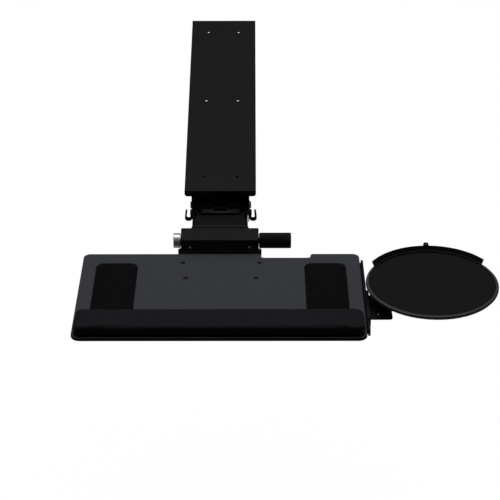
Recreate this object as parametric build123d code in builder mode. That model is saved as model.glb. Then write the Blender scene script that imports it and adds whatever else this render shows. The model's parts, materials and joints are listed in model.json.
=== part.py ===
from build123d import *
import math
import os

os.makedirs("parts", exist_ok=True)

# An articulating keyboard tray that hangs from a track under a desk, with a mouse platform.
# Frame: millimetres, +X right, +Y back under the desk, +Z up.
# The origin is the middle of the track's top face, which is the face screwed to the desk.

# ---------------------------------------------------------------- driving dimensions

fit = 0.08  # radial running clearance of every pin in its bore
face_gap = 0.1  # clearance between faces that slide or lie on each other
pin_r = 4.0

track_len = 559.0
track_w = 128.0
track_h = 12.0
sheet = 2.0
lip_inner = 50.0  # half the width of the slot between the track's lips
cap_t = 3.0
desk_hole_r = 2.6
desk_hole_dx = 60.0
desk_hole_dy = 480.0

carriage_len = 90.0
carriage_front = -track_len / 2 + 5.5
swivel_y = carriage_front + carriage_len / 2
swivel_r = 6.0
bearing_r = 40.0
bracket_w = 104.0
bracket_top = -track_h - 1.0
bracket_t = 2.5
cheek_in = 50.0
cheek_out = 52.0

# The tube axis runs along X through the tilt head, in front of the track and below it.
tube_y = -track_len / 2 - cap_t - 88.0
tube_z = -track_h - 30.0

# Pivots of the lift linkage, measured from the tube axis.
rear_upper = (tube_y + 118.0, tube_z - 13.0)
rear_lower = (tube_y + 119.5, tube_z - 32.0)
arm_run = 88.0
arm_rise = 14.0
front_upper = (rear_upper[0] - arm_run, rear_upper[1] + arm_rise)
front_lower = (rear_lower[0] - arm_run, rear_lower[1] + arm_rise)
arm_len = math.hypot(arm_run, arm_rise)
arm_slope = math.degrees(math.atan2(arm_rise, arm_run))
arm_in = 47.1
arm_out = 49.3
link_in = 41.5
link_out = 43.5
yoke_in = 44.5
yoke_out = 46.5
cover_half = 44.2

# The head is a bent shell round the tube axis, closed by two end plates.
head_half = 68.5
head_front = 17.0
head_rear = 18.0
head_top = 14.2
head_bottom = 28.0
knob_r = 13.8
knob_start = 69.2
knob_end = 125.8
shaft_r = 5.0
bush_r = 9.0

# The tray tilts about a rod below and in front of the tube axis.
tilt_rest = 10.7
rod_y = tube_y - 8.0
rod_z = tube_z - 20.7
ear_in = 69.5
ear_out = 71.5
ear_r = 7.5

# Tray frame: X right, Y back from the board's front edge, Z up off the board's top face.
tube_in_tray = (303.0, 13.5)
board_shift = 3.2
board_w = 482.6
board_d = 279.2
board_t = 6.3
notch_from = 70.0
notch_to = 156.0
notch_d = 13.5
rear_screws = (66.8, 246.8)
front_screws = (60.0, 194.2)
pad_w = 72.0
pad_x = 180.3
rest_w = 477.0
rest_back = 70.5
rest_front = 2.0
rest_h = 18.0

# Mouse platform, in the tray frame and measured from the board's centre line.
rail_in = 243.4
rail_out = 247.2
rail_front = 26.0
rail_back = 258.0
clip_in = 247.6
clip_out = 249.6
arm_pivot = (268.0, 112.0)
pan_centre = (357.2, 144.1)
pan_r = 111.7
pan_low = 13.0
pan_top = 19.5

# ---------------------------------------------------------------- frames

slope = math.radians(tilt_rest)
tray_y = tube_y - tube_in_tray[0] * math.cos(slope) - tube_in_tray[1] * math.sin(slope)
tray_z = tube_z + tube_in_tray[0] * math.sin(slope) - tube_in_tray[1] * math.cos(slope)
tray_normal = (0, math.sin(slope), math.cos(slope))
tray_place = Location(Plane((0, tray_y, tray_z), x_dir=(1, 0, 0), z_dir=tray_normal))

lean = math.radians(arm_slope)
arm_normal = (0, math.sin(lean), math.cos(lean))
arm_place = Location(Plane((0, *rear_upper), x_dir=(1, 0, 0), z_dir=arm_normal))
link_place = Location(Plane((0, *rear_lower), x_dir=(1, 0, 0), z_dir=arm_normal))


def in_tray(y, z):
    """A point beside the tube axis, given in the tray frame."""
    dy = y - tray_y
    dz = z - tray_z
    return (dy * math.cos(slope) - dz * math.sin(slope), dy * math.sin(slope) + dz * math.cos(slope))


rod_in_tray = in_tray(rod_y, rod_z)


def save(builder, label, place=Location()):
    """Label a finished piece and write it, moved from its own flat frame into its place."""
    piece = builder.part.moved(place)
    piece.label = label
    export_step(piece, f"parts/{label}.step")


# ---------------------------------------------------------------- repeated shapes


def side(x):
    """The plane at X = x whose own axes are Y and Z."""
    return Plane.YZ.offset(x)


def headed_pin(at, radius, half, head_r, head_h):
    """A pin along X with a domed head on each end; half is where the heads begin."""
    with BuildPart() as pin:
        with BuildSketch(side(-half)):
            with Locations(at):
                Circle(radius)
        extrude(amount=2 * half)
        for start in (-half - head_h, half):
            with BuildSketch(side(start)):
                with Locations(at):
                    Circle(head_r)
            extrude(amount=head_h)
        ends = pin.edges().filter_by(GeomType.CIRCLE).sort_by(Axis.X)
        fillet([ends[0], ends[-1]], head_h * 0.7)
    return pin


def tube_along_x(at, spans, outer_r, inner_r):
    """Plain sleeves or washers along X, one for each (start, end) in spans."""
    with BuildPart() as tube:
        for start, end in spans:
            with BuildSketch(side(start)):
                with Locations(at):
                    Circle(outer_r)
                    Circle(inner_r, mode=Mode.SUBTRACT)
            extrude(amount=end - start)
    return tube


def both_sides(inner, outer):
    """The same stretch of X on the left and on the right."""
    return [(-outer, -inner), (inner, outer)]


# ---------------------------------------------------------------- track

with BuildPart() as track_channel:
    with BuildSketch(Plane.XZ.offset(-track_len / 2)) as section:
        with Locations((0, -track_h / 2)):
            Rectangle(track_w, track_h)
            Rectangle(track_w - 2 * sheet, track_h - 2 * sheet, mode=Mode.SUBTRACT)
        with Locations((0, -track_h + sheet / 2)):
            Rectangle(2 * lip_inner, 2 * sheet, mode=Mode.SUBTRACT)
        lower = section.vertices().group_by(Axis.Y)[0].sort_by(Axis.X)
        fillet([lower[0], lower[-1]], 3.0)
        upper = section.vertices().group_by(Axis.Y)[-1]
        fillet(upper, 1.5)
    extrude(amount=track_len)
    with GridLocations(desk_hole_dx, desk_hole_dy, 2, 2):
        Hole(desk_hole_r, depth=2 * sheet)
    with GridLocations(desk_hole_dx, 1, 2, 1):
        Hole(desk_hole_r, depth=2 * sheet)
save(track_channel, "track_channel")


def track_cap(end):
    """An end cap that stops the carriage; end is -1 at the front and 1 at the rear."""
    tab_depth = 5.0
    cap_middle = end * (track_len / 2 + cap_t / 2)
    tab_middle = end * (track_len / 2 - tab_depth / 2)
    with BuildPart() as cap:
        with BuildSketch(Plane.XZ.offset(-cap_middle)) as face:
            with Locations((0, -track_h / 2)):
                Rectangle(track_w, track_h)
            chamfer(face.vertices().group_by(Axis.Y)[0], 3.5)
            fillet(face.vertices().group_by(Axis.Y)[-1], 1.0)
        extrude(amount=cap_t / 2, both=True)
        with BuildSketch(Plane.XZ.offset(-tab_middle)):
            with Locations((-52, -track_h / 2), (52, -track_h / 2)):
                Rectangle(18, track_h - 2 * sheet - 2 * face_gap)
        extrude(amount=tab_depth / 2, both=True)
    return cap


save(track_cap(-1), "track_front_cap")
save(track_cap(1), "track_rear_stop")

with BuildPart() as track_bumpers:
    for end in (-1, 1):
        with BuildSketch(Plane.XZ.offset(-end * (track_len / 2 - 2.0))):
            with Locations((-24, -track_h / 2), (24, -track_h / 2)):
                RectangleRounded(12, 6, 2)
        extrude(amount=1.95, both=True)
save(track_bumpers, "track_bumpers")

# ---------------------------------------------------------------- carriage

plate_half = 57.0
plate_low = -track_h + 4.0
plate_high = plate_low + 4.0
with BuildPart() as carriage_plate:
    with BuildSketch(Plane.XY.offset(plate_low)):
        with Locations((0, swivel_y)):
            RectangleRounded(2 * plate_half, carriage_len, 3)
            Circle(swivel_r + fit, mode=Mode.SUBTRACT)
            with GridLocations(0, 66, 1, 2):
                SlotOverall(40, 10, mode=Mode.SUBTRACT)
    extrude(amount=plate_high - plate_low)
save(carriage_plate, "carriage_plate")

glide_len = 25.0
glide_out = track_w / 2 - sheet - 0.3
glide_in = 51.0
with BuildPart() as glide_blocks:
    for side_x in (-1, 1):
        middle_x = side_x * (glide_in + glide_out) / 2
        with BuildSketch(Plane.XY.offset(-track_h + sheet + face_gap)):
            with Locations((middle_x, swivel_y - 31), (middle_x, swivel_y + 31)):
                RectangleRounded(glide_out - glide_in, glide_len, 2)
        extrude(amount=track_h - 2 * sheet - 2 * face_gap)
    with BuildSketch(Plane.XY.offset(plate_low - 0.05)):
        with Locations((0, swivel_y)):
            Rectangle(2 * plate_half + 0.1, carriage_len + 2)
    extrude(amount=plate_high - plate_low + 0.1, mode=Mode.SUBTRACT)
save(glide_blocks, "glide_blocks")

with BuildPart() as swivel_bearing:
    with BuildSketch(Plane.XY.offset(bracket_top + 0.15)):
        with Locations((0, swivel_y)):
            Circle(bearing_r)
            Circle(swivel_r + fit, mode=Mode.SUBTRACT)
    extrude(amount=plate_low - bracket_top - 0.2)
save(swivel_bearing, "swivel_bearing")

nut_top = bracket_top - bracket_t - 1.2
with BuildPart() as swivel_bolt:
    with BuildSketch(Plane.XY.offset(plate_high)):
        with Locations((0, swivel_y)):
            Circle(12)
    extrude(amount=1.7)
    chamfer(swivel_bolt.edges().group_by(Axis.Z)[-1], 0.6)
    with BuildSketch(Plane.XY.offset(nut_top - 9)):
        with Locations((0, swivel_y)):
            Circle(swivel_r)
    extrude(amount=plate_high - nut_top + 9)
    chamfer(swivel_bolt.edges().group_by(Axis.Z)[0], 0.8)
save(swivel_bolt, "swivel_bolt")

with BuildPart() as swivel_nut:
    with BuildSketch(Plane.XY.offset(nut_top)):
        with Locations((0, swivel_y)):
            Circle(15)
            Circle(swivel_r + 0.02, mode=Mode.SUBTRACT)
    extrude(amount=1.0)
    with BuildSketch(Plane.XY.offset(nut_top - 7)):
        with Locations((0, swivel_y)):
            RegularPolygon(10.5, 6)
            Circle(swivel_r + 0.02, mode=Mode.SUBTRACT)
    extrude(amount=7)
save(swivel_nut, "swivel_nut")

# ---------------------------------------------------------------- swivel bracket

bracket_front = -track_len / 2 - 2.0
bracket_back = swivel_y + 43.0
cheek_r = 17.0
web_from = (bracket_back - 3.0, bracket_top - 6.5)
web_run = (rear_lower[0] - web_from[0], rear_lower[1] - web_from[1])
web_bearing = math.degrees(math.atan2(*reversed(web_run)) + math.asin(cheek_r / math.hypot(*web_run)))
with BuildPart() as swivel_bracket:
    with BuildSketch(Plane.XY.offset(bracket_top - bracket_t)):
        with Locations((0, (bracket_front + bracket_back) / 2)):
            RectangleRounded(bracket_w, bracket_back - bracket_front, 2.0)
        with Locations((0, swivel_y)):
            Circle(swivel_r + fit, mode=Mode.SUBTRACT)
    extrude(amount=bracket_t)
    for start in (-cheek_out, cheek_in):
        with BuildSketch(side(start)):
            with Locations(((bracket_front + bracket_back) / 2, bracket_top - 4.5)):
                Rectangle(bracket_back - bracket_front - 6, 4)
            with Locations(rear_lower):
                Circle(cheek_r)
            make_hull()
            with Locations(rear_upper, rear_lower):
                Circle(pin_r + 0.02, mode=Mode.SUBTRACT)
        extrude(amount=cheek_out - cheek_in)
    with BuildSketch(side(-cheek_in - 0.5)):
        with BuildLine():
            PolarLine((bracket_back - 4.3, bracket_top - 4), 81, angle=web_bearing)
        trace(line_width=2.0)
    extrude(amount=2 * cheek_in + 1)
    long_edges = swivel_bracket.edges().filter_by(Axis.Y).group_by(Axis.Z)[-1]
    fillet(long_edges, 1.8)
save(swivel_bracket, "swivel_bracket")

washer_out = cheek_out + 1.05
save(headed_pin(rear_upper, pin_r, washer_out + 0.05, 6.5, 2.2), "upper_rear_pin")
save(headed_pin(rear_lower, pin_r, washer_out + 0.05, 6.5, 3.3), "lower_rear_pin")

with BuildPart() as pivot_washers:
    for at in (rear_upper, rear_lower):
        for start in (-washer_out, cheek_out + 0.05):
            with BuildSketch(side(start)):
                with Locations(at):
                    Circle(8)
                    Circle(pin_r + 0.05, mode=Mode.SUBTRACT)
            extrude(amount=1.0)
    for start in (-cheek_in + 0.05, arm_out + 0.05):
        with BuildSketch(side(start)):
            with Locations(rear_upper):
                Circle(9)
                Circle(pin_r + 0.05, mode=Mode.SUBTRACT)
        extrude(amount=cheek_in - arm_out - 0.1)
save(pivot_washers, "pivot_washers")

spacers = tube_along_x(rear_lower, both_sides(link_out + 0.1, cheek_in - 0.05), 5.5, pin_r + 0.05)
save(spacers, "link_spacers")

spring_r = 9.3
wire_r = 1.5
coil_pitch = 3.4
coil_len = 23.8


def lift_spring(start):
    """A close-wound torsion spring round the arm sleeve, from X = start."""
    centre = (start, *rear_upper)
    with BuildPart() as spring:
        with BuildLine() as coil:
            Helix(coil_pitch, coil_len, spring_r, center=centre, direction=(1, 0, 0))
        with BuildSketch(Plane(coil.line @ 0, z_dir=coil.line % 0)):
            Circle(wire_r)
        sweep(is_frenet=True)
    return spring


save(lift_spring(-36), "lift_spring_left")
save(lift_spring(36 - coil_len), "lift_spring_right")

hook_front = 267.5
hook_width = 7.6
hook_t = 3.2
hook_top = tube_z - 22.0
hook_low = tube_z - 37.1
hook_tip = tube_z - 17.5


def cable_hook(hand):
    """A bent strip on the outside of a cheek; hand is -1 on the left and 1 on the right."""
    near = cheek_out + 0.05 + hook_t / 2
    far = 64.4
    with BuildPart() as hook:
        with BuildSketch(Plane.XZ.offset(hook_front - hook_width)):
            with BuildLine():
                FilletPolyline(
                    (hand * near, hook_top),
                    (hand * near, hook_low),
                    (hand * far, hook_low),
                    (hand * (far - 2.0), hook_tip),
                    radius=4.6,
                )
            trace(line_width=hook_t)
        extrude(amount=hook_width)
    return hook


save(cable_hook(-1), "cable_hook_left")
save(cable_hook(1), "cable_hook_right")

# ---------------------------------------------------------------- lift arm, flat in its own frame

web_low = 4.0
web_high = 6.2
sleeve_r = 7.0
sleeve_bore = 5.52
with BuildPart() as lift_arm:
    for start in (-arm_out, arm_in):
        with BuildSketch(side(start)):
            Circle(10)
            with Locations((-arm_len, 0)):
                Circle(9.5)
            make_hull()
            Circle(sleeve_r + 0.02, mode=Mode.SUBTRACT)
            with Locations((-arm_len, 0)):
                Circle(pin_r + fit, mode=Mode.SUBTRACT)
        extrude(amount=arm_out - arm_in)
    with BuildSketch(Plane.XY.offset(web_low)):
        with Locations((0, -70)):
            Rectangle(2 * arm_in + 1, 18.8)
        with Locations((0, -59.5)):
            Rectangle(80, 5)
    extrude(amount=web_high - web_low)
    with BuildSketch(Plane.XY.offset(-8.6)):
        with Locations((0, -46)):
            Rectangle(2 * arm_in + 1, 58)
    extrude(amount=2)
save(lift_arm, "lift_arm", arm_place)

with BuildPart() as arm_sleeve:
    for start, end, radius in ((-arm_out, arm_out, sleeve_r), (-47.0, -43.8, 11.5), (43.8, 47.0, 11.5)):
        with BuildSketch(side(start)):
            Circle(radius)
        extrude(amount=end - start)
    with BuildSketch(side(-arm_out)):
        Circle(sleeve_bore)
    extrude(amount=2 * arm_out, mode=Mode.SUBTRACT)
save(arm_sleeve, "arm_sleeve", arm_place)

arm_bushes = tube_along_x((0, 0), both_sides(arm_out - 14, arm_out), sleeve_bore - 0.02, pin_r + fit)
save(arm_bushes, "arm_bushes", arm_place)

cover_top = 10.0
cover_under = 8.0
cover_rear = -55.0
with BuildPart() as arm_cover:
    with BuildSketch(side(-cover_half)):
        with BuildLine():
            nose = (-arm_len, 0)
            Line((cover_rear, cover_top), (-arm_len, cover_top))
            outer = CenterArc(nose, cover_top, 90, 105)
            inner = CenterArc(nose, cover_under, 90, 105)
            Line(outer @ 1, inner @ 1)
            Line((-arm_len, cover_under), (cover_rear, cover_under))
            Line((cover_rear, cover_under), (cover_rear, cover_top))
        make_face()
    extrude(amount=2 * cover_half)
    with BuildSketch(Plane.XY.offset(cover_under)):
        with Locations((-38.5, cover_rear + 8), (38.5, cover_rear + 8)):
            RectangleRounded(9, 22, 3)
    extrude(amount=cover_top - cover_under)
    with BuildSketch(Plane.XY.offset(web_high + 0.1)):
        with Locations((-cover_half + 1, -62), (cover_half - 1, -62)):
            Rectangle(2, 42)
    extrude(amount=cover_under - web_high)
save(arm_cover, "arm_cover", arm_place)

# ---------------------------------------------------------------- lower link, flat in its own frame

link_r = 6.8
with BuildPart() as lower_link:
    for start in (-link_out, link_in):
        with BuildSketch(side(start)):
            Circle(link_r)
            with Locations((-arm_len, 0)):
                Circle(link_r)
            make_hull()
            Circle(pin_r + fit, mode=Mode.SUBTRACT)
            with Locations((-arm_len, 0)):
                Circle(pin_r + 0.02, mode=Mode.SUBTRACT)
        extrude(amount=link_out - link_in)
    with BuildSketch(Plane.XY.offset(-6)):
        with Locations((0, -arm_len / 2)):
            Rectangle(2 * link_in + 1, 46)
            SlotOverall(50, 20, mode=Mode.SUBTRACT)
    extrude(amount=2)
save(lower_link, "lower_link", link_place)

link_sleeve = tube_along_x((0, 0), [(-link_in + 0.05, link_in - 0.05)], 6.5, pin_r + fit)
save(link_sleeve, "link_sleeve", link_place)
save(headed_pin((-arm_len, 0), pin_r, yoke_out + 0.1, 5.5, 1.8), "link_front_pin", link_place)

# ---------------------------------------------------------------- tilt head

head_middle = tube_y + (head_rear - head_front) / 2
housing_screw_x = 52.3
with BuildPart() as tube_housing:
    with BuildSketch(side(-head_half)) as outline:
        with Locations((head_middle, tube_z + (head_top - head_bottom) / 2)):
            Rectangle(head_front + head_rear, head_top + head_bottom)
        upper = outline.vertices().group_by(Axis.Y)[-1].sort_by(Axis.X)
        fillet(upper[0], 4.5)
        fillet(outline.vertices().group_by(Axis.Y)[-1].sort_by(Axis.X)[-1], 1.2)
    extrude(amount=2 * head_half)
    with BuildSketch(side(-head_half)) as hollow:
        with Locations((head_middle, tube_z + (head_top - head_bottom) / 2 - sheet)):
            Rectangle(head_front + head_rear - 2 * sheet, head_top + head_bottom)
        fillet(hollow.vertices().group_by(Axis.Y)[-1], 2.5)
    extrude(amount=2 * head_half, mode=Mode.SUBTRACT)
    corners = tube_housing.edges().filter_by(Axis.Z).group_by(Axis.Y)[-1]
    fillet(corners, 1.8)
    with BuildSketch(Plane.XZ.offset(-tube_y + head_front - 3)):
        with Locations((-housing_screw_x, tube_z - 1), (housing_screw_x, tube_z - 1)):
            Circle(1.65)
    extrude(amount=5, mode=Mode.SUBTRACT)
save(tube_housing, "tube_housing")

with BuildPart() as housing_screws:
    with BuildSketch(Plane.XZ.offset(-tube_y + head_front - 5)):
        with Locations((-housing_screw_x, tube_z - 1), (housing_screw_x, tube_z - 1)):
            Circle(1.6)
    extrude(amount=5)
    with BuildSketch(Plane.XZ.offset(-tube_y + head_front + 0.02)):
        with Locations((-housing_screw_x, tube_z - 1), (housing_screw_x, tube_z - 1)):
            Circle(2.4)
    extrude(amount=0.9)
    with BuildSketch(Plane.XZ.offset(-tube_y + head_front - 0.1)):
        with Locations((-housing_screw_x, tube_z - 1), (housing_screw_x, tube_z - 1)):
            Circle(1.6)
    extrude(amount=0.3)
    fillet(housing_screws.edges().group_by(Axis.Y)[0], 0.7)
save(housing_screws, "housing_screws")

end_plate_t = 2.5


def housing_end(start):
    """An end plate inside the housing, with bores for the tube bush and the tilt rod."""
    low = -head_bottom
    high = head_top - sheet - face_gap
    with BuildPart() as plate:
        with BuildSketch(side(start)) as outline:
            with Locations((head_middle, tube_z + (low + high) / 2)):
                Rectangle(head_front + head_rear - 2 * (sheet + face_gap), high - low)
            fillet(outline.vertices().group_by(Axis.Y)[-1], 2.6)
            with Locations((tube_y, tube_z)):
                Circle(bush_r + 0.05, mode=Mode.SUBTRACT)
            with Locations((rod_y, rod_z)):
                Circle(pin_r + fit, mode=Mode.SUBTRACT)
        extrude(amount=end_plate_t)
    return plate


save(housing_end(-head_half + 0.5), "housing_end_left")
save(housing_end(head_half - 0.5 - end_plate_t), "housing_end_right")

yoke_front = tube_y + head_rear + face_gap
yoke_t = 1.5
with BuildPart() as head_yoke:
    with BuildSketch(Plane.XZ.offset(-yoke_front)):
        with Locations((0, tube_z - 8.5)):
            Rectangle(2 * yoke_out, 35)
    extrude(amount=-yoke_t)
    for start in (-yoke_out, yoke_in):
        with BuildSketch(side(start)):
            with Locations((yoke_front + yoke_t / 2, tube_z - 8.5)):
                Rectangle(yoke_t, 35)
            with Locations(front_upper, front_lower):
                Circle(8.5)
            make_hull()
            with Locations(front_upper):
                Circle(pin_r + 0.02, mode=Mode.SUBTRACT)
            with Locations(front_lower):
                Circle(pin_r + 0.3, mode=Mode.SUBTRACT)
        extrude(amount=yoke_out - yoke_in)
save(head_yoke, "head_yoke")

save(headed_pin(front_upper, pin_r, arm_out + 0.1, 5.0, 1.4), "upper_front_pin")
front_spacer = tube_along_x(front_upper, [(-yoke_in + 0.1, yoke_in - 0.1)], 6.0, pin_r + 0.05)
save(front_spacer, "front_spacer_tube")

cap_head_r = 13.0
with BuildPart() as silver_end_cap:
    with BuildSketch(Plane.XY):
        with BuildLine():
            Polyline((-62, shaft_r + fit), (-62, bush_r), (-69.5, bush_r), (-69.5, cap_head_r))
            Line((-69.5, cap_head_r), (-80.3, cap_head_r))
            RadiusArc((-80.3, cap_head_r), (-81.6, cap_head_r - 1.3), -1.3)
            Line((-81.6, cap_head_r - 1.3), (-81.6, 0))
            Polyline((-81.6, 0), (-76, 0), (-76, shaft_r + fit), (-62, shaft_r + fit))
        make_face()
    revolve(axis=Axis.X)
save(silver_end_cap, "silver_end_cap", Location((0, tube_y, tube_z)))

with BuildPart() as knob_bush:
    with BuildSketch(Plane.XY):
        with BuildLine():
            Polyline(
                (62, shaft_r + fit),
                (62, bush_r),
                (head_half + 0.1, bush_r),
                (head_half + 0.1, 11),
                (knob_start - 0.3, 11),
                (knob_start - 0.3, shaft_r + fit),
                close=True,
            )
        make_face()
    revolve(axis=Axis.X)
save(knob_bush, "knob_bush", Location((0, tube_y, tube_z)))

# ---------------------------------------------------------------- knob, screw and nut

rib_count = 36
with BuildPart() as tilt_knob:
    with BuildSketch(side(knob_start)):
        Circle(knob_r)
    extrude(amount=knob_end - knob_start)
    fillet(tilt_knob.edges().filter_by(GeomType.CIRCLE), 2.4)
    with BuildSketch(side(knob_start + 5)):
        with PolarLocations(knob_r + 0.25, rib_count):
            Circle(0.75)
    extrude(amount=knob_end - knob_start - 10, mode=Mode.SUBTRACT)
    with BuildSketch(side(knob_start - 1)):
        Circle(shaft_r + 0.02)
    extrude(amount=47.5, mode=Mode.SUBTRACT)
save(tilt_knob, "tilt_knob", Location((0, tube_y, tube_z)))

thread_pitch = 4.0
with BuildPart() as tilt_screw:
    with BuildSketch(side(-75.5)):
        Circle(shaft_r)
    extrude(amount=75.5 + knob_start + 45)
    with BuildSketch(Plane.XY):
        for turn in range(11):
            with Locations((-20 + turn * thread_pitch, shaft_r)):
                Trapezoid(2.6, 1.2, 60, rotation=180)
    revolve(axis=Axis.X, mode=Mode.SUBTRACT)
save(tilt_screw, "tilt_screw", Location((0, tube_y, tube_z)))

nut_half = 10.0
nut_bottom = -13.5
slot_turn = 35.5
with BuildPart() as tilt_nut:
    with BuildSketch(side(-nut_half)):
        with Locations((0, (9 + nut_bottom) / 2)):
            Rectangle(29.4, 9 - nut_bottom)
        Circle(shaft_r + fit, mode=Mode.SUBTRACT)
    extrude(amount=2 * nut_half)
    chamfer(tilt_nut.edges().filter_by(Axis.X).group_by(Axis.Z)[-1], 2)
    with BuildSketch(Plane.XY.offset(nut_bottom)):
        with Locations((-2.9, -10.05)):
            Rectangle(24, 8.6, rotation=slot_turn)
    extrude(amount=5.5, mode=Mode.SUBTRACT)
save(tilt_nut, "tilt_nut", Location((0, tube_y, tube_z)))

# ---------------------------------------------------------------- tray, flat in its own frame

under = -board_t - face_gap
plate_t = 2.5
with BuildPart() as tray_bracket:
    with BuildSketch(Plane.XY.offset(under - plate_t)):
        with Locations((0, 221)):
            RectangleRounded(162, 84, 6)
        for x, y in (rear_screws, front_screws):
            with Locations((board_shift - x, y), (board_shift + x, y)):
                Circle(2.1, mode=Mode.SUBTRACT)
        with Locations((0, 220)):
            SlotOverall(70, 30, mode=Mode.SUBTRACT)
    extrude(amount=plate_t)
    for start in (-ear_out, ear_in):
        with BuildSketch(side(start)):
            with Locations((258.5, under - plate_t / 2 - 2)):
                Rectangle(9, plate_t + 4)
            with Locations(rod_in_tray):
                Circle(ear_r)
            make_hull()
            with Locations((board_d - 20, under + 10)):
                Rectangle(44, 20, mode=Mode.SUBTRACT)
            with Locations(rod_in_tray):
                Circle(pin_r + 0.02, mode=Mode.SUBTRACT)
        extrude(amount=ear_out - ear_in)
save(tray_bracket, "tray_bracket", tray_place)

with BuildPart() as tilt_rod:
    with BuildSketch(side(-ear_out - 0.05)):
        with Locations(rod_in_tray):
            Circle(pin_r)
    extrude(amount=2 * (ear_out + 0.05))
save(tilt_rod, "tilt_rod", tray_place)

tilt_washers = tube_along_x(rod_in_tray, both_sides(head_half + 0.1, ear_in - 0.1), 7.2, pin_r + 0.05)
save(tilt_washers, "tilt_washers", tray_place)

with BuildPart() as rod_caps:
    for start in (-ear_out - 2.2, ear_out + 0.1):
        with BuildSketch(side(start)):
            with Locations(rod_in_tray):
                Circle(6.5)
        extrude(amount=2.1)
    rims = rod_caps.edges().filter_by(GeomType.CIRCLE).sort_by(Axis.X)
    fillet([rims[0], rims[-1]], 1.6)
save(rod_caps, "rod_caps", tray_place)

with BuildPart() as tilt_lever:
    with BuildSketch(side(-5)):
        Circle(6.4)
    extrude(amount=10)
    with BuildSketch(Plane.XY):
        Circle(2.4)
    extrude(amount=10.3)
    with BuildSketch(side(-5)):
        Circle(pin_r + 0.02)
    extrude(amount=10, mode=Mode.SUBTRACT)
save(tilt_lever, "tilt_lever", Location((0, rod_y, rod_z)))

edge_round = 1.3
with BuildPart() as board:
    with BuildSketch(Plane.XY.offset(-board_t)) as plan:
        with Locations((0, board_d / 2)):
            Rectangle(board_w, board_d)
        fillet(plan.vertices().group_by(Axis.Y)[0], 15)
        fillet(plan.vertices().group_by(Axis.Y)[-1], 12)
        with Locations(((notch_from + notch_to) / 2, board_d - notch_d / 2)):
            Rectangle(notch_to - notch_from, notch_d, mode=Mode.SUBTRACT)
        notch = plan.vertices().filter_by_position(Axis.X, notch_from - 1, notch_to + 1)
        fillet(notch, 5.5)
    extrude(amount=board_t)
    fillet(board.faces().sort_by(Axis.Z)[-1].edges(), edge_round)
    fillet(board.faces().sort_by(Axis.Z)[0].edges(), edge_round)
    for x, y in (rear_screws, front_screws):
        with Locations((-x, y), (x, y)):
            CounterBoreHole(2.2, 4.3, 2.6)
board_place = tray_place * Location((board_shift, 0, 0))
save(board, "board", board_place)

with BuildPart() as board_screws:
    for x, y in (rear_screws, front_screws):
        with BuildSketch(Plane.XY.offset(-2.5)):
            with Locations((-x, y), (x, y)):
                Circle(3.9)
        extrude(amount=1.7)
        with BuildSketch(Plane.XY.offset(-board_t - 4)):
            with Locations((-x, y), (x, y)):
                Circle(2.0)
        extrude(amount=board_t + 1.6)
    fillet(board_screws.edges().group_by(Axis.Z)[-1], 0.8)
    with BuildSketch(Plane.XY.offset(-1.6)):
        for x, y in (rear_screws, front_screws):
            with Locations((-x, y), (x, y)):
                RegularPolygon(1.9, 6)
    extrude(amount=2, mode=Mode.SUBTRACT)
save(board_screws, "board_screws", board_place)

pad_front = rest_back + 0.6
pad_back = 244.0
pad_t = 1.3


def grip_pad(x):
    """A thin rubber sheet stuck on the board, with rounded rear corners."""
    with BuildPart() as pad:
        with BuildSketch(Plane.XY.offset(0.02)) as plan:
            with Locations((x, (pad_front + pad_back) / 2)):
                Rectangle(pad_w, pad_back - pad_front)
            fillet(plan.vertices().group_by(Axis.Y)[-1], 15)
        extrude(amount=pad_t)
    return pad


save(grip_pad(-pad_x), "grip_pad_left", board_place)
save(grip_pad(pad_x), "grip_pad_right", board_place)

base_t = 2.0
rest_mid = (rest_front + rest_back) / 2
with BuildPart() as palm_rest_base:
    with BuildSketch(Plane.XY.offset(0.02)):
        with Locations((0, rest_mid)):
            RectangleRounded(rest_w - 4, rest_back - rest_front - 2, 11)
    extrude(amount=base_t)
save(palm_rest_base, "palm_rest_base", board_place)

with BuildPart() as palm_rest_pad:
    with BuildSketch(Plane.XY.offset(base_t + 0.3)):
        with Locations((0, rest_mid)):
            RectangleRounded(rest_w, rest_back - rest_front, 13)
    extrude(amount=rest_h - base_t - 0.3)
    fillet(palm_rest_pad.faces().sort_by(Axis.Z)[-1].edges(), 6)
save(palm_rest_pad, "palm_rest_pad", board_place)

# ---------------------------------------------------------------- rail and mouse clip

rail_low = -12.2
rail_high = -0.5
with BuildPart() as mouse_rail:
    with BuildSketch(Plane.XZ.offset(-rail_back)):
        with Locations(((rail_in + rail_out) / 2, (rail_low + rail_high) / 2)):
            Rectangle(rail_out - rail_in, rail_high - rail_low)
        with Locations((231, under - 1.2)):
            Rectangle(28, 2.4)
    extrude(amount=rail_back - rail_front)
    ends = mouse_rail.edges().filter_by(Axis.X).group_by(Axis.Z)[-1]
    fillet(ends, 1.5)
    with Locations((226, 34, under), (226, 133, under), (226, 232, under)):
        Hole(1.8, depth=4)
save(mouse_rail, "mouse_rail", board_place)

with BuildPart() as rail_screws:
    for y in (34, 133, 232):
        with BuildSketch(Plane.XY.offset(under - 2.4 - 1.9)):
            with Locations((226, y)):
                Circle(3.4)
        extrude(amount=1.85)
        with BuildSketch(Plane.XY.offset(under - 2.4 - 0.5)):
            with Locations((226, y)):
                Circle(1.75)
        extrude(amount=2.85)
save(rail_screws, "rail_screws", board_place)

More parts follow.
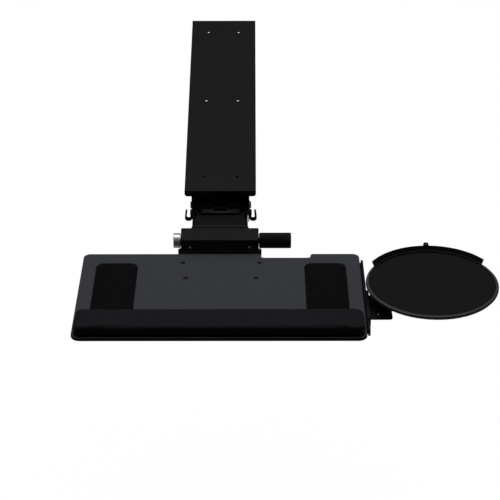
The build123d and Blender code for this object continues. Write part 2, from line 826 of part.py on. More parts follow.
clip_front = 58.0
clip_back = 150.0
clip_low = -14.6
clip_high = 1.4
tongue_front = 72.4
tongue_back = 149.9
tongue_out = 287.0
tongue_low = -10.0
tongue_t = 2.0
with BuildPart() as mouse_clip:
    with BuildSketch(Plane.XZ.offset(-clip_back)):
        with Locations(((clip_in + clip_out) / 2, (clip_low + clip_high) / 2)):
            Rectangle(clip_out - clip_in, clip_high - clip_low)
        with Locations((clip_in - 1.5, clip_high - 0.75), (clip_in - 1.5, clip_low + 0.9)):
            Rectangle(3.2, 1.5)
    extrude(amount=clip_back - clip_front)
    with BuildSketch(Plane.XY.offset(tongue_low)) as tongue:
        with Locations(((clip_in + tongue_out) / 2 + 1, (tongue_front + tongue_back) / 2)):
            Rectangle(tongue_out - clip_in - 2, tongue_back - tongue_front)
        fillet(tongue.vertices().group_by(Axis.X)[-1], 6)
        with Locations((263.4, 88)):
            Circle(1.9, mode=Mode.SUBTRACT)
        with Locations(arm_pivot):
            Circle(pin_r + 0.02, mode=Mode.SUBTRACT)
    extrude(amount=tongue_t)
    with BuildSketch(side(clip_in - 0.1)):
        with Locations((146, -4)):
            Circle(1.6)
    extrude(amount=3, mode=Mode.SUBTRACT)
save(mouse_clip, "mouse_clip", board_place)

with BuildPart() as clip_rivet:
    with BuildSketch(side(clip_in + 0.1)):
        with Locations((146, -4)):
            Circle(1.55)
    extrude(amount=2.6)
    with BuildSketch(side(clip_out + 0.03)):
        with Locations((146, -4)):
            Circle(3)
    extrude(amount=1.4)
    fillet(clip_rivet.edges().group_by(Axis.X)[-1], 1.0)
save(clip_rivet, "clip_rivet", board_place)

# ---------------------------------------------------------------- mouse arm

swing_low = tongue_low + tongue_t + 0.4
swing_t = 3.0
pan_pin_r = 5.0
with BuildPart() as arm_pivot_bolt:
    with BuildSketch(Plane.XY.offset(swing_low + swing_t + 0.3)):
        with Locations(arm_pivot):
            Circle(8)
    extrude(amount=2.6)
    fillet(arm_pivot_bolt.edges().group_by(Axis.Z)[-1], 1.4)
    with BuildSketch(Plane.XY.offset(tongue_low - 5)):
        with Locations(arm_pivot):
            Circle(pin_r)
    extrude(amount=swing_low + swing_t + 0.3 - tongue_low + 5)
save(arm_pivot_bolt, "arm_pivot_bolt", board_place)

with BuildPart() as arm_pivot_nut:
    with BuildSketch(Plane.XY.offset(tongue_low - 4.1)):
        with Locations(arm_pivot):
            RegularPolygon(7.5, 6)
            Circle(pin_r + 0.02, mode=Mode.SUBTRACT)
    extrude(amount=4)
save(arm_pivot_nut, "arm_pivot_nut", board_place)

with BuildPart() as mouse_arm:
    with BuildSketch(Plane.XY.offset(swing_low)):
        with Locations(arm_pivot):
            Circle(14)
        with Locations(pan_centre):
            Circle(18)
        make_hull()
        with Locations(arm_pivot):
            Circle(pin_r + fit, mode=Mode.SUBTRACT)
        with Locations(pan_centre):
            Circle(pan_pin_r + 0.02, mode=Mode.SUBTRACT)
    extrude(amount=swing_t)
    fillet(mouse_arm.faces().sort_by(Axis.Z)[-1].outer_wire().edges(), 0.8)
save(mouse_arm, "mouse_arm", board_place)

with BuildPart() as pan_pivot_pin:
    with BuildSketch(Plane.XY.offset(swing_low - 2.9)):
        with Locations(pan_centre):
            Circle(10)
    extrude(amount=2.8)
    fillet(pan_pivot_pin.edges().group_by(Axis.Z)[0], 1.2)
    with BuildSketch(Plane.XY.offset(swing_low - 1)):
        with Locations(pan_centre):
            Circle(pan_pin_r)
    extrude(amount=15)
save(pan_pivot_pin, "pan_pivot_pin", board_place)

# ---------------------------------------------------------------- mouse platform

floor_t = 2.5
hub_low = swing_low + swing_t + 0.3
with BuildPart() as mouse_pan:
    with BuildSketch(Plane.XY.offset(pan_low)):
        with Locations(pan_centre):
            Circle(pan_r)
    extrude(amount=pan_top - pan_low)
    chamfer(mouse_pan.edges().group_by(Axis.Z)[0], 2.5, 2.0)
    fillet(mouse_pan.edges().group_by(Axis.Z)[-1], 2.2)
    with BuildSketch(Plane.XY.offset(pan_top - 3.2)):
        with Locations(pan_centre):
            Circle(pan_r + 1)
            Circle(pan_r - 0.9, mode=Mode.SUBTRACT)
    extrude(amount=0.7, mode=Mode.SUBTRACT)
    with BuildSketch(Plane.XY.offset(pan_low + floor_t)):
        with Locations(pan_centre):
            Circle(pan_r - 4.9)
    extrude(amount=pan_top, mode=Mode.SUBTRACT)
    with BuildSketch(Plane.XY.offset(hub_low)):
        with Locations(pan_centre):
            Circle(15)
    extrude(amount=pan_low - hub_low + 1)
    with BuildSketch(Plane.XY.offset(pan_low - 3)):
        with Locations(pan_centre):
            with PolarLocations(45, 6):
                Rectangle(66, 2.5)
    extrude(amount=3.5)
    with BuildSketch(Plane.XY.offset(hub_low)):
        with Locations(pan_centre):
            Circle(pan_pin_r + fit)
    extrude(amount=16, mode=Mode.SUBTRACT)
save(mouse_pan, "mouse_pan", board_place)

with BuildPart() as mouse_pad:
    with BuildSketch(Plane.XY.offset(pan_low + floor_t + 0.05)):
        with Locations(pan_centre):
            Circle(pan_r - 5.2)
    extrude(amount=2.6)
    fillet(mouse_pad.edges().group_by(Axis.Z)[-1], 0.8)
save(mouse_pad, "mouse_pad", board_place)

guard_from = 34.5
guard_sweep = 115.0
guard_foot = pan_top + 0.15
guard_top = pan_top + 8.6
guard_start = math.radians(guard_from)
guard_out = (math.cos(guard_start), math.sin(guard_start), 0)
guard_plane = Plane((*pan_centre, 0), x_dir=guard_out, z_dir=(guard_out[1], -guard_out[0], 0))
with BuildPart() as mouse_guard:
    with BuildSketch(guard_plane):
        with BuildLine():
            Polyline(
                (pan_r - 4.7, guard_foot),
                (pan_r - 1.9, guard_foot),
                (pan_r - 1.0, guard_foot + 0.8),
                (pan_r + 2.6, guard_top - 0.6),
                (pan_r + 1.8, guard_top),
                (pan_r + 0.8, guard_top),
                (pan_r - 3.1, guard_foot + 1.6),
                (pan_r - 4.7, guard_foot + 1.2),
                close=True,
            )
        make_face()
    revolve(axis=Axis((*pan_centre, 0), (0, 0, 1)), revolution_arc=guard_sweep)
save(mouse_guard, "mouse_guard", board_place)

clip_shift = -1.3
with BuildPart() as mouse_cord_clip:
    with BuildSketch(Plane.XZ.offset(-pan_centre[1] - pan_r - 0.2)) as clip_face:
        with Locations((pan_centre[0] + clip_shift, guard_top + 2.6)):
            Rectangle(9.4, 5.0)
        fillet(clip_face.vertices().group_by(Axis.Y)[-1], 4.0)
        with Locations((pan_centre[0] + clip_shift, guard_top + 2.3)):
            Circle(1.3, mode=Mode.SUBTRACT)
    extrude(amount=-4)
save(mouse_cord_clip, "mouse_cord_clip", board_place)
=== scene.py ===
import json
import math

import bmesh
import bpy
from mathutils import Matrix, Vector


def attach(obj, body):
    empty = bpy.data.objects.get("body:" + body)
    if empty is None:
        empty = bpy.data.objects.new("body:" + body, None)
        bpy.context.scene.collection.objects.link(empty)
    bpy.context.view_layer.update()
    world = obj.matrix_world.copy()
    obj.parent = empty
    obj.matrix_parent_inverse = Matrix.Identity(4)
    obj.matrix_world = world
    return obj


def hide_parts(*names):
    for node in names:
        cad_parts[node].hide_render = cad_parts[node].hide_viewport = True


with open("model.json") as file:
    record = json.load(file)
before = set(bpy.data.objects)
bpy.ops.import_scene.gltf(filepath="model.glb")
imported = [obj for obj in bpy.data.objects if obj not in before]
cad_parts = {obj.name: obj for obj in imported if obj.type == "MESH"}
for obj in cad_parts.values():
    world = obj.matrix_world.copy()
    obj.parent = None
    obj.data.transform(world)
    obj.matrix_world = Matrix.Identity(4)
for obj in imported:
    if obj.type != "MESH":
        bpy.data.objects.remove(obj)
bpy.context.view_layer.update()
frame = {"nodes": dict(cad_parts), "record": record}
record = frame["record"]
nodes = frame["nodes"]
mm = 0.001

# ---------------------------------------------------------------- camera, floor and lights

camera_data = bpy.data.cameras.new("camera")
camera_data.lens = 125.2
camera_data.sensor_width = 36.0
camera_data.clip_end = 200.0
camera = bpy.data.objects.new("camera", camera_data)
camera.location = (0.0574, -2.7392, 1.9124)
camera.rotation_euler = (math.radians(50.16), math.radians(0.092), math.radians(0.023))
bpy.context.collection.objects.link(camera)
bpy.context.scene.camera = camera

floor_drop = 0.72  # from the underside of a desk down to the floor
room_reach = 28.0
room_height = 20.0
room_sides = 64


def make_room():
    """A plain pale floor and wall round the hanging object, which don't colour the object's shading."""
    shape = bmesh.new()
    rings = []
    for reach, height in ((0.01, 0), (room_reach * 0.5, 0), (room_reach, 0), (room_reach, room_height)):
        ring = []
        for step in range(room_sides):
            a = 2 * math.pi * step / room_sides
            ring.append(shape.verts.new((reach * math.cos(a), reach * math.sin(a), height - floor_drop)))
        rings.append(ring)
    for inner, outer in zip(rings, rings[1:]):
        for step in range(room_sides):
            after = (step + 1) % room_sides
            shape.faces.new((inner[step], outer[step], outer[after], inner[after]))
    shape.faces.new(rings[0])
    mesh = bpy.data.meshes.new("floor")
    shape.to_mesh(mesh)
    shape.free()
    floor = bpy.data.objects.new("floor", mesh)
    bpy.context.collection.objects.link(floor)
    paint = bpy.data.materials.new("floor_paint")
    paint.use_nodes = True
    shader = paint.node_tree.nodes["Principled BSDF"]
    shader.inputs["Base Color"].default_value = (0.1, 0.1, 0.1, 1)
    shader.inputs["Roughness"].default_value = 1.0
    shader.inputs["Specular IOR Level"].default_value = 0.0
    shader.inputs["Emission Color"].default_value = (1, 1, 1, 1)
    shader.inputs["Emission Strength"].default_value = 0.96
    mesh.materials.append(paint)
    floor.visible_diffuse = False
    floor.visible_glossy = False
    floor.visible_shadow = False


def softbox(name, place, aim, width, depth, power):
    """A rectangular area light at place, turned towards aim."""
    data = bpy.data.lights.new(name, "AREA")
    data.shape = "RECTANGLE"
    data.size = width
    data.size_y = depth
    data.energy = power
    lamp = bpy.data.objects.new(name, data)
    lamp.location = place
    lamp.rotation_euler = (Vector(aim) - Vector(place)).to_track_quat("-Z", "Y").to_euler()
    bpy.context.collection.objects.link(lamp)


make_room()
board_middle = (0.05, -0.45, 0)
softbox("overhead", (0.0, 0.9, 2.5), board_middle, 3.2, 1.7, 46)
softbox("top_front", (0.0, -0.9, 2.7), board_middle, 3.2, 1.0, 3)
softbox("back_strip", (0.0, 3.2, 1.3), (0, -0.4, 0), 3.0, 0.5, 3)
softbox("front_low", (0.0, -3.0, -0.4), (0, -0.4, 0), 2.6, 0.3, 0.2)



def make_sky():
    """Soft light from all round: brightest from below, dark at the horizon and dim overhead."""
    world = bpy.data.worlds.new("studio")
    world.use_nodes = True
    tree = world.node_tree
    background = tree.nodes["Background"]
    background.inputs["Strength"].default_value = 1.0
    where = tree.nodes.new("ShaderNodeTexCoord")
    height = tree.nodes.new("ShaderNodeSeparateXYZ")
    share = tree.nodes.new("ShaderNodeMapRange")
    share.inputs["From Min"].default_value = -1.0
    shade = tree.nodes.new("ShaderNodeValToRGB")
    ramp = shade.color_ramp.elements
    ramp[0].position = 0.0
    ramp[0].color = (0.26, 0.27, 0.28, 1)
    ramp[1].position = 0.30
    ramp[1].color = (0.09, 0.09, 0.10, 1)
    ramp.new(0.56).color = (0.03, 0.032, 0.036, 1)
    ramp.new(1.0).color = (0.13, 0.14, 0.15, 1)
    tree.links.new(where.outputs["Generated"], height.inputs["Vector"])
    tree.links.new(height.outputs["Z"], share.inputs["Value"])
    tree.links.new(share.outputs["Result"], shade.inputs["Fac"])
    tree.links.new(shade.outputs["Color"], background.inputs["Color"])
    bpy.context.scene.world = world


make_sky()
bpy.context.scene.view_settings.view_transform = "Standard"

# ---------------------------------------------------------------- the tray's own directions

face = next(m for m in record["mounts"] if m["name"] == "keyboard_face_left")
tray_origin = Vector(face["pos_m"])
tray_up = Vector(face["axis"]).normalized()
tray_right = Vector((1, 0, 0))
tray_back = tray_up.cross(tray_right)


def to_tray(point):
    """A point in the tray's directions, from the left grip pad's top face."""
    d = point - tray_origin
    return Vector((d.dot(tray_right), d.dot(tray_back), d.dot(tray_up)))


def from_tray(x, y, z):
    """The point in the shared frame at x, y, z of the tray's directions."""
    return tray_origin + x * tray_right + y * tray_back + z * tray_up


def tray_box(node):
    """Lowest and highest corners of a CAD node in the tray's directions."""
    points = [to_tray(v.co) for v in nodes[node].data.vertices]
    low = Vector([min(p[i] for p in points) for i in range(3)])
    high = Vector([max(p[i] for p in points) for i in range(3)])
    return low, high


# ---------------------------------------------------------------- material helpers


class Finish:
    """A node material with object coordinates, so its pattern stays with the piece as it moves."""

    def __init__(self, name, color, roughness, metallic=0.0, specular=0.5):
        self.material = bpy.data.materials.new(name)
        self.material.use_nodes = True
        self.tree = self.material.node_tree
        self.shader = self.tree.nodes["Principled BSDF"]
        self.shader.inputs["Base Color"].default_value = (*color, 1)
        self.shader.inputs["Roughness"].default_value = roughness
        self.shader.inputs["Metallic"].default_value = metallic
        self.shader.inputs["Specular IOR Level"].default_value = specular
        self.coords = self.tree.nodes.new("ShaderNodeTexCoord").outputs["Object"]
        self.rounded = None

    def node(self, kind, **settings):
        made = self.tree.nodes.new(kind)
        for key, value in settings.items():
            setattr(made, key, value)
        return made

    def link(self, source, target):
        self.tree.links.new(source, target)

    def stretched(self, scale):
        """The object coordinates, scaled differently along X, Y and Z."""
        mapping = self.node("ShaderNodeMapping")
        mapping.inputs["Scale"].default_value = scale
        self.link(self.coords, mapping.inputs["Vector"])
        return mapping.outputs["Vector"]

    def noise(self, scale, detail=3.0, vector=None, roughness=0.5):
        made = self.node("ShaderNodeTexNoise")
        made.inputs["Scale"].default_value = scale
        made.inputs["Detail"].default_value = detail
        made.inputs["Roughness"].default_value = roughness
        self.link(vector or self.coords, made.inputs["Vector"])
        return made.outputs["Fac"]

    def cells(self, scale, vector=None):
        made = self.node("ShaderNodeTexVoronoi")
        made.inputs["Scale"].default_value = scale
        self.link(vector or self.coords, made.inputs["Vector"])
        return made.outputs["Distance"]

    def between(self, factor, low, high, start=0.3, end=0.7):
        """A number that goes from low to high as factor goes from start to end."""
        made = self.node("ShaderNodeMapRange")
        made.inputs["From Min"].default_value = start
        made.inputs["From Max"].default_value = end
        made.inputs["To Min"].default_value = low
        made.inputs["To Max"].default_value = high
        self.link(factor, made.inputs["Value"])
        return made.outputs["Result"]

    def blend(self, factor, first, second):
        """A colour between first and second; either may be a colour or another node's output."""
        made = self.node("ShaderNodeMix", data_type="RGBA")
        self.link(factor, made.inputs["Factor"])
        for socket, value in ((made.inputs[6], first), (made.inputs[7], second)):
            if isinstance(value, bpy.types.NodeSocket):
                self.link(value, socket)
            else:
                socket.default_value = (*value, 1)
        return made.outputs[2]

    def times(self, a, b):
        made = self.node("ShaderNodeMath", operation="MULTIPLY")
        for socket, value in zip(made.inputs, (a, b)):
            if isinstance(value, bpy.types.NodeSocket):
                self.link(value, socket)
            else:
                socket.default_value = value
        return made.outputs["Value"]

    def color(self, source):
        self.link(source, self.shader.inputs["Base Color"])

    def rough(self, source):
        self.link(source, self.shader.inputs["Roughness"])

    def soft_edges(self, radius):
        """Rounds sharp edges in the shading, as on bent sheet and turned parts."""
        made = self.node("ShaderNodeBevel", samples=4)
        made.inputs["Radius"].default_value = radius
        self.rounded = made.outputs["Normal"]
        return self.rounded

    def edge_mask(self):
        """Is near 1 along the sharp edges and 0 on open faces."""
        flat = self.node("ShaderNodeNewGeometry").outputs["Normal"]
        dot = self.node("ShaderNodeVectorMath", operation="DOT_PRODUCT")
        self.link(self.rounded, dot.inputs[0])
        self.link(flat, dot.inputs[1])
        return self.between(dot.outputs["Value"], 1.0, 0.0, 0.80, 0.985)

    def facing_up(self, start, end):
        """Goes from 0 to 1 as the face turns towards the tray's upward direction."""
        dot = self.node("ShaderNodeVectorMath", operation="DOT_PRODUCT")
        self.link(self.node("ShaderNodeTexCoord").outputs["Normal"], dot.inputs[0])
        dot.inputs[1].default_value = tray_up
        return self.between(dot.outputs["Value"], 0.0, 1.0, start, end)

    def bump(self, height, depth, strength=1.0, normal=None):
        made = self.node("ShaderNodeBump")
        made.inputs["Strength"].default_value = strength
        made.inputs["Distance"].default_value = depth
        self.link(height, made.inputs["Height"])
        if normal is not None:
            self.link(normal, made.inputs["Normal"])
        self.link(made.outputs["Normal"], self.shader.inputs["Normal"])
        return made.outputs["Normal"]


# ---------------------------------------------------------------- materials, one for each slot


def powder_coat():
    """Satin black powder coat on steel: orange peel, and the sharp edges painted lighter in patches, for a
    little wear and a painted highlight.
    """
    m = Finish("powder_coat", (0.009, 0.009, 0.0095), 0.45, specular=0.08)
    edges = m.soft_edges(0.7 * mm)
    wear_and_highlight = m.times(m.edge_mask(), m.between(m.noise(140, 4), 0.0, 0.8, 0.42, 0.66))
    cloud = m.blend(m.noise(22, 3), (0.0078, 0.0078, 0.0086), (0.0105, 0.0105, 0.0114))
    # painted highlight and wear: the sharp edges are painted lighter in patches
    m.color(m.blend(wear_and_highlight, cloud, (0.045, 0.045, 0.047)))
    m.rough(m.between(m.noise(60, 3), 0.38, 0.52))
    m.bump(m.noise(1100, 2), 0.06 * mm, 0.6, edges)
    return m.material


def black_plastic():
    """Moulded black plastic with a fine spark-eroded grain."""
    m = Finish("black_plastic", (0.006, 0.006, 0.006), 0.5, specular=0.10)
    edges = m.soft_edges(0.5 * mm)
    m.color(m.blend(m.noise(40, 4), (0.0050, 0.0050, 0.0052), (0.0075, 0.0075, 0.0078)))
    m.rough(m.between(m.noise(300, 2), 0.44, 0.6))
    m.bump(m.cells(2200), 0.05 * mm, 0.5, edges)
    return m.material


def pan_plastic():
    """Dark grey moulded plastic, with a satin rim that catches the light."""
    m = Finish("pan_plastic", (0.040, 0.040, 0.043), 0.42, specular=0.35)
    edges = m.soft_edges(0.6 * mm)
    m.color(m.blend(m.noise(50, 4), (0.036, 0.036, 0.039), (0.046, 0.046, 0.049)))
    m.rough(m.between(m.noise(300, 2), 0.36, 0.5))
    m.bump(m.cells(2200), 0.04 * mm, 0.5, edges)
    return m.material


def nylon():
    """Natural nylon, slightly yellow, with faint flow marks."""
    m = Finish("nylon", (0.55, 0.54, 0.49), 0.4)
    m.color(m.blend(m.noise(90, 3), (0.50, 0.49, 0.44), (0.60, 0.59, 0.55)))
    m.rough(m.between(m.noise(200, 2), 0.34, 0.48))
    m.bump(m.noise(900, 2), 0.04 * mm, 0.5, m.soft_edges(0.3 * mm))
    m.shader.inputs["Subsurface Weight"].default_value = 0.15
    m.shader.inputs["Subsurface Radius"].default_value = (1.0, 0.9, 0.7)
    m.shader.inputs["Subsurface Scale"].default_value = 2.0 * mm
    return m.material


def zinc_steel():
    """Zinc plate with soft spangles and fine drawing lines."""
    m = Finish("zinc_steel", (0.45, 0.46, 0.47), 0.4, metallic=1.0)
    spangle = m.cells(260)
    m.color(m.blend(spangle, (0.36, 0.37, 0.38), (0.55, 0.56, 0.57)))
    m.rough(m.between(m.noise(180, 4), 0.3, 0.5))
    m.bump(m.noise(1, 2, m.stretched((900, 60, 60))), 0.03 * mm, 0.5, m.soft_edges(0.4 * mm))
    return m.material


def black_oxide():
    """Blackened steel pins and screws, their edges painted brighter in patches: wear and a painted
    highlight.
    """
    m = Finish("black_oxide", (0.02, 0.02, 0.021), 0.38, metallic=0.6)
    edges = m.soft_edges(0.5 * mm)
    wear_and_highlight = m.times(m.edge_mask(), m.between(m.noise(220, 3), 0.1, 0.7))
    # painted highlight and wear: the sharp edges are painted brighter
    m.color(m.blend(wear_and_highlight, (0.016, 0.016, 0.017), (0.09, 0.09, 0.09)))
    m.rough(m.between(m.noise(160, 3), 0.3, 0.48))
    m.bump(m.noise(1500, 2), 0.02 * mm, 0.5, edges)
    return m.material


def spring_steel():
    """Oiled dark spring wire with lengthwise drawing marks."""
    m = Finish("spring_steel", (0.05, 0.05, 0.052), 0.32, metallic=0.9)
    m.color(m.blend(m.noise(400, 4), (0.03, 0.03, 0.032), (0.08, 0.078, 0.075)))
    m.rough(m.between(m.noise(300, 3), 0.24, 0.44))
    m.bump(m.noise(1800, 3), 0.02 * mm, 0.5)
    return m.material


def polished_cap():
    """A turned and polished cap, with fine rings left by the tool."""
    m = Finish("polished_cap", (0.66, 0.68, 0.73), 0.16, metallic=1.0)
    rings = m.noise(1, 4, m.stretched((4200, 8, 8)))
    m.color(m.blend(rings, (0.52, 0.54, 0.58), (0.64, 0.66, 0.70)))
    m.rough(m.between(rings, 0.30, 0.44))
    m.bump(rings, 0.01 * mm, 0.4, m.soft_edges(0.4 * mm))
    return m.material


def nut_brass():
    """Machined brass, dull in places."""
    m = Finish("nut_brass", (0.55, 0.41, 0.17), 0.35, metallic=1.0)
    m.color(m.blend(m.noise(120, 4), (0.40, 0.29, 0.12), (0.60, 0.45, 0.20)))
    m.rough(m.between(m.noise(200, 3), 0.28, 0.48))
    m.bump(m.noise(1, 2, m.stretched((60, 1200, 60))), 0.02 * mm, 0.5, m.soft_edges(0.4 * mm))
    return m.material


def board_laminate():
    """Dark grey laminate with a stippled face; the faces turned away from the tray's up, rounded edges and
    underside, are painted darker: painted shade, and the darker core at the edges.
    """
    m = Finish("board_laminate", (0.055, 0.057, 0.066), 0.6, specular=0.12)
    speckle = m.blend(m.noise(1400, 2), (0.049, 0.0505, 0.060), (0.060, 0.062, 0.072))
    drift = m.blend(m.noise(9, 3), (0.053, 0.0548, 0.0645), (0.057, 0.0588, 0.069))
    face_color = m.blend(m.noise(260, 3), speckle, drift)
    # painted shade: faces turned away from the tray's up get the dark colour, which also stands for the
    # darker core
    m.color(m.blend(m.facing_up(0.80, 0.97), (0.013, 0.013, 0.014), face_color))
    m.rough(m.between(m.noise(500, 3), 0.5, 0.68))
    m.bump(m.noise(1700, 2), 0.05 * mm, 0.6)
    return m.material


def grip_rubber():
    """Matt rubber sheet with a fine leather-like grain."""
    m = Finish("grip_rubber", (0.0044, 0.0044, 0.0050), 0.75, specular=0.04)
    m.color(m.blend(m.noise(70, 4), (0.0044, 0.0044, 0.0050), (0.0058, 0.0058, 0.0064)))
    m.rough(m.between(m.noise(400, 3), 0.68, 0.86))
    m.bump(m.cells(1300), 0.08 * mm, 0.7)
    return m.material


def rest_cover():
    """Smooth stretch fabric over foam: a tiny knit with a soft sheen, and painted shade darkening the
    sides.
    """
    m = Finish("rest_cover", (0.0080, 0.0082, 0.0110), 0.55, specular=0.08)
    wales = m.node("ShaderNodeTexWave", wave_type="BANDS", bands_direction="X")
    wales.inputs["Scale"].default_value = 260
    wales.inputs["Distortion"].default_value = 1.4
    wales.inputs["Detail"].default_value = 2.0
    wales.inputs["Detail Scale"].default_value = 3.0
    m.link(m.coords, wales.inputs["Vector"])
    cloth = m.blend(m.noise(1500, 2), (0.0064, 0.0066, 0.0090), (0.0086, 0.0088, 0.0118))
    # painted shade: faces turned away from the tray's up get a darker colour
    m.color(m.blend(m.facing_up(0.62, 0.93), (0.0040, 0.0040, 0.0046), cloth))
    m.rough(m.between(m.noise(120, 3), 0.56, 0.72))
    m.bump(wales.outputs["Fac"], 0.05 * mm, 0.5)
    m.shader.inputs["Sheen Weight"].default_value = 0.06
    m.shader.inputs["Sheen Roughness"].default_value = 0.5
    return m.material


def mouse_cloth():
    """The woven cloth face of a mouse pad."""
    m = Finish("mouse_cloth", (0.0090, 0.0090, 0.0100), 0.8, specular=0.08)
    threads = []
    for direction in ("X", "Y"):
        wave = m.node("ShaderNodeTexWave", wave_type="BANDS", bands_direction=direction)
        wave.inputs["Scale"].default_value = 330
        wave.inputs["Distortion"].default_value = 0.6
        m.link(m.coords, wave.inputs["Vector"])
        threads.append(wave.outputs["Fac"])
    weave = m.times(*threads)
    m.color(m.blend(m.noise(900, 3), (0.0080, 0.0080, 0.0090), (0.0102, 0.0102, 0.0114)))
    m.rough(m.between(m.noise(200, 2), 0.74, 0.88))
    m.bump(weave, 0.06 * mm, 0.6)
    m.shader.inputs["Sheen Weight"].default_value = 0.04
    return m.material


finishes = {
    "black_steel": powder_coat(),
    "black_plastic": black_plastic(),
    "pan_plastic": pan_plastic(),
    "nylon": nylon(),
    "zinc_steel": zinc_steel(),
    "black_pins": black_oxide(),
    "spring_steel": spring_steel(),
    "polished_cap": polished_cap(),
    "nut_brass": nut_brass(),
    "board_laminate": board_laminate(),
    "grip_rubber": grip_rubber(),
    "rest_cover": rest_cover(),
    "mouse_surface": mouse_cloth(),
}

slot_of = {part["node"]: part["material_slot"] for part in record["subparts"]}
for name, thing in nodes.items():
    thing.data.materials.clear()
    thing.data.materials.append(finishes[slot_of[name]])

# ---------------------------------------------------------------- pieces


def add_piece(name, mesh, body, node):
    """Puts a finished mesh in the scene in place of a CAD node, with that node's finish."""
    piece = bpy.data.objects.new(name, mesh)
    bpy.context.collection.objects.link(piece)
    mesh.materials.clear()
    mesh.materials.append(finishes[slot_of[node]])
    for polygon in mesh.polygons:
        polygon.use_smooth = True
    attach(piece, body)
    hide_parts(node)
    return piece


def apply_modifiers(piece):
    """Turns what the modifiers make into the piece's own mesh."""
    evaluated = piece.evaluated_get(bpy.context.evaluated_depsgraph_get())
    mesh = bpy.data.meshes.new_from_object(evaluated)
    piece.modifiers.clear()
    piece.data = mesh


def palm_rest():
    """A foam rest under stretch fabric: highest along its front, and held flat on its base."""
    inset = 1.0 * mm
    crest = 0.12  # share of the depth behind which the top falls away
    squash = 0.96
    low, high = tray_box("palm_rest_pad")
    depth = high.y - low.y
    height = high.z - low.z
    mesh = nodes["palm_rest_pad"].data.copy()
    piece = bpy.data.objects.new("palm_rest_cushion", mesh)
    bpy.context.collection.objects.link(piece)
    for vertex in mesh.vertices:
        p = to_tray(vertex.co)
        along = (p.y - low.y) / depth
        up = (p.z - low.z) / height
        fall = 0.10 * max(0.0, along - crest) ** 1.3
        x = p.x - inset * (p.x - (low.x + high.x) / 2) / (high.x - low.x) * 2
        y = p.y + inset * (0.5 - along)
        vertex.co = from_tray(x, y, low.z + height * up * (1 - fall) * squash)
    remesh = piece.modifiers.new("even", "REMESH")
    remesh.mode = "VOXEL"
    remesh.voxel_size = 4 * mm
    apply_modifiers(piece)
    inflate(piece, low.z + 1.2 * mm, 1.6 * mm)
    smooth = piece.modifiers.new("round", "SUBSURF")
    smooth.levels = 1
    smooth.render_levels = 1
    apply_modifiers(piece)
    mesh = piece.data
    bpy.data.objects.remove(piece)
    rest = add_piece("palm_rest_cushion", mesh, "tray", "palm_rest_pad")


def inflate(piece, glued_below, cap):
    """Swells the cover with a cloth simulation. Points under glued_below stay, and none moves past cap."""
    glued = piece.vertex_groups.new(name="glued")
    rest = [v.co.copy() for v in piece.data.vertices]
    glued.add([i for i, p in enumerate(rest) if to_tray(p).z < glued_below], 1.0, "REPLACE")
    cloth = piece.modifiers.new("cloth", "CLOTH")
    cloth.settings.use_pressure = True
    cloth.settings.uniform_pressure_force = 4.0
    cloth.settings.effector_weights.gravity = 0
    cloth.settings.vertex_group_mass = "glued"
    cloth.settings.tension_stiffness = 30
    cloth.settings.compression_stiffness = 30
    cloth.settings.bending_stiffness = 2
    last_frame = 20
    cloth.point_cache.frame_start = 1
    cloth.point_cache.frame_end = last_frame
    for step in range(1, last_frame + 1):
        bpy.context.scene.frame_set(step)
    apply_modifiers(piece)
    for vertex, start in zip(piece.data.vertices, rest):
        move = vertex.co - start
        if move.length > cap:
            vertex.co = start + move * (cap / move.length)
    bpy.context.scene.frame_set(1)


def spun(profile, centre, steps):
    """A mesh turned round the tray's upward direction at centre, from (radius, height) points."""
    shape = bmesh.new()
    rings = []
    for radius, height in profile:
        if radius == 0:
            rings.append([shape.verts.new(centre + height * tray_up)])
            continue
        ring = []
        for step in range(steps):
            a = 2 * math.pi * step / steps
            around = math.cos(a) * tray_right + math.sin(a) * tray_back
            ring.append(shape.verts.new(centre + radius * around + height * tray_up))
        rings.append(ring)
    for inner, outer in zip(rings, rings[1:]):
        for step in range(steps):
            after = (step + 1) % steps
            if len(inner) == 1:
                shape.faces.new((inner[0], outer[step], outer[after]))
            elif len(outer) == 1:
                shape.faces.new((inner[step], inner[after], outer[0]))
            else:
                shape.faces.new((inner[step], outer[step], outer[after], inner[after]))
    bmesh.ops.recalc_face_normals(shape, faces=shape.faces)
    mesh = bpy.data.meshes.new("spun")
    shape.to_mesh(mesh)
    shape.free()
    return mesh


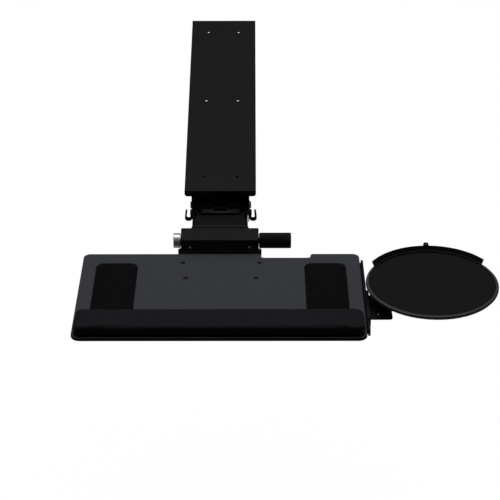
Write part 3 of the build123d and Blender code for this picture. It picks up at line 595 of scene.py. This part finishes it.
def mouse_pad():
    """A thin cloth-faced foam disc with a pressed edge, let into the pan."""
    low, high = tray_box("mouse_pad")
    radius = (high.x - low.x) / 2
    thick = high.z - low.z
    top = next(m for m in record["mounts"] if m["name"] == "mouse_face")
    centre = Vector(top["pos_m"])
    press = 3.0 * mm
    edge = 0.9 * mm
    bevel = 0.4 * mm
    sunk = 0.3 * mm  # how far the pressed edge lies below the face
    arc_steps = 6
    profile = [(0, -thick), (radius * 0.5, -thick), (radius - bevel, -thick), (radius, -thick + bevel)]
    profile.append((radius, -edge - sunk))
    for step in range(arc_steps + 1):
        a = math.pi / 2 * step / arc_steps
        profile.append((radius - edge * (1 - math.cos(a)), -edge - sunk + edge * math.sin(a)))
    profile.append((radius - edge - press * 0.5, -0.28 * mm))
    profile.append((radius - edge - press, -0.06 * mm))
    profile.append((radius - edge - press * 1.5, 0))
    for share in (0.8, 0.6, 0.4, 0.2, 0.05, 0):
        profile.append((radius * share, 0))
    piece = add_piece("mouse_pad_cloth", spun(profile, centre, 160), "mouse_platform", "mouse_pad")


def grip_pad(node, name):
    """A thin rubber sheet with softened edges, and two rounded corners at the back."""
    low, high = tray_box(node)
    half = (high.x - low.x) / 2
    middle = (high.x + low.x) / 2
    corner = 15 * mm
    soft = 0.45 * mm
    length = high.y - low.y
    rows = [0.0, soft * 0.3, soft]
    rows += [length * share for share in (0.1, 0.25, 0.4, 0.55, 0.7, 0.85)]
    arc_steps = 14
    rows += [length - corner * math.cos(math.pi / 2 * step / arc_steps) for step in range(arc_steps)]
    rows.append(length - 0.01 * mm)
    shape = bmesh.new()
    lines = []
    for y in rows:
        into = max(0.0, y - (length - corner))
        width = half - corner + math.sqrt(max(0.0, corner**2 - into**2))
        drop = soft * (1 - min(1.0, y / soft)) + soft * max(0.0, 1 - (length - y) / (1.2 * soft))
        points = [(-width, low.z), (-width, high.z - soft - drop * 0.5)]
        points += [(-width + soft * 0.3, high.z - soft * 0.3 - drop), (-width + soft, high.z - drop)]
        points += [(x, z) for x, z in [(-p, z) for p, z in reversed(points)]]
        lines.append([shape.verts.new(from_tray(middle + x, low.y + y, z)) for x, z in points])
    for near, far in zip(lines, lines[1:]):
        for i in range(len(near)):
            j = (i + 1) % len(near)
            shape.faces.new((near[i], near[j], far[j], far[i]))
    shape.faces.new(lines[0])
    shape.faces.new(lines[-1])
    bmesh.ops.recalc_face_normals(shape, faces=shape.faces)
    mesh = bpy.data.meshes.new(name)
    shape.to_mesh(mesh)
    shape.free()
    add_piece(name, mesh, "tray", node)


palm_rest()
mouse_pad()
grip_pad("grip_pad_left", "grip_sheet_left")
grip_pad("grip_pad_right", "grip_sheet_right")
